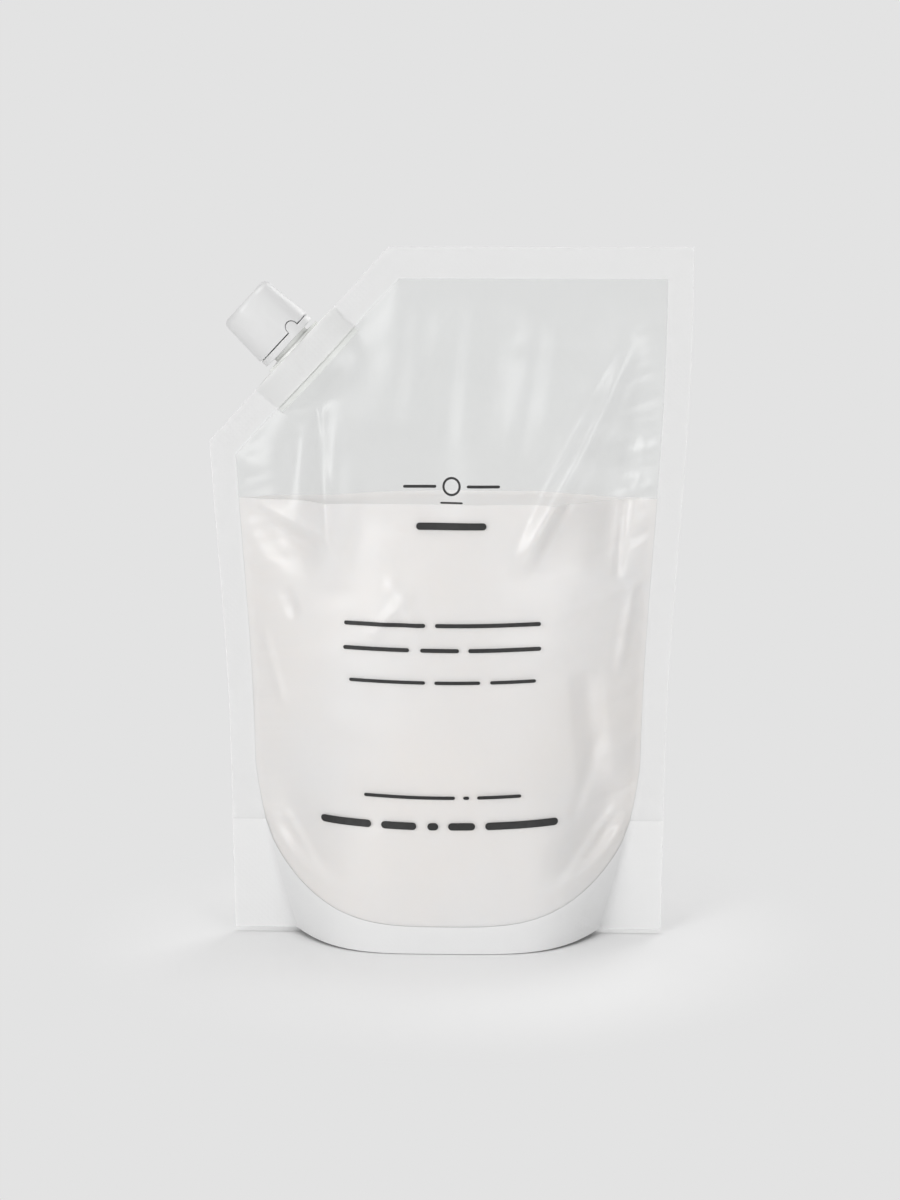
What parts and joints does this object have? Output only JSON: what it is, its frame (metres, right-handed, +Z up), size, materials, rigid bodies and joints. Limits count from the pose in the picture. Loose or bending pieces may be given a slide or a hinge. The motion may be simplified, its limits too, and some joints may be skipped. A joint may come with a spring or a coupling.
{
  "type": "hand soap refill pack",
  "caption": "Stand-up refill pouch of translucent film with a cut corner, a slanted pour spout and a screw cap, filled with liquid hand soap.",
  "frame": {"origin": "on the surface it stands on, under the middle of the pouch", "axes": "+Z up, +X towards the square top corner, away from the spout; the front panel faces -Y"},
  "size_m": [0.1535, 0.052, 0.224],
  "materials": {
    "clear_film": "clear laminated film, slightly frosted",
    "soap": "pearly liquid",
    "natural_plastic": "moulded polyethylene, satin",
    "white_plastic": "moulded polypropylene, satin"
  },
  "bodies": {
    "pouch": {"front_film_panel": "clear_film", "back_film_panel": "clear_film", "bottom_gusset_film": "clear_film", "liquid_soap": "soap", "spout": "natural_plastic"},
    "band": {"tamper_band": "white_plastic"},
    "cap": {"screw_cap": "white_plastic"}
  },
  "joints": [
    {"name": "cap_turn", "type": "hinge", "parent": "pouch", "child": "band", "pos_m": [-0.05284, 0, 0.19529], "axis": [-0.7315, 0, 0.6818], "range_deg": [0, 1080]},
    {"name": "cap_lift", "type": "slide", "parent": "band", "child": "cap", "axis": [-0.7315, 0, 0.6818], "range_m": [0, 0.0136]}
  ],
  "couplings": [
    {"joint": "cap_lift", "follows": "cap_turn", "m_per_rad": 0.0007162}
  ]
}
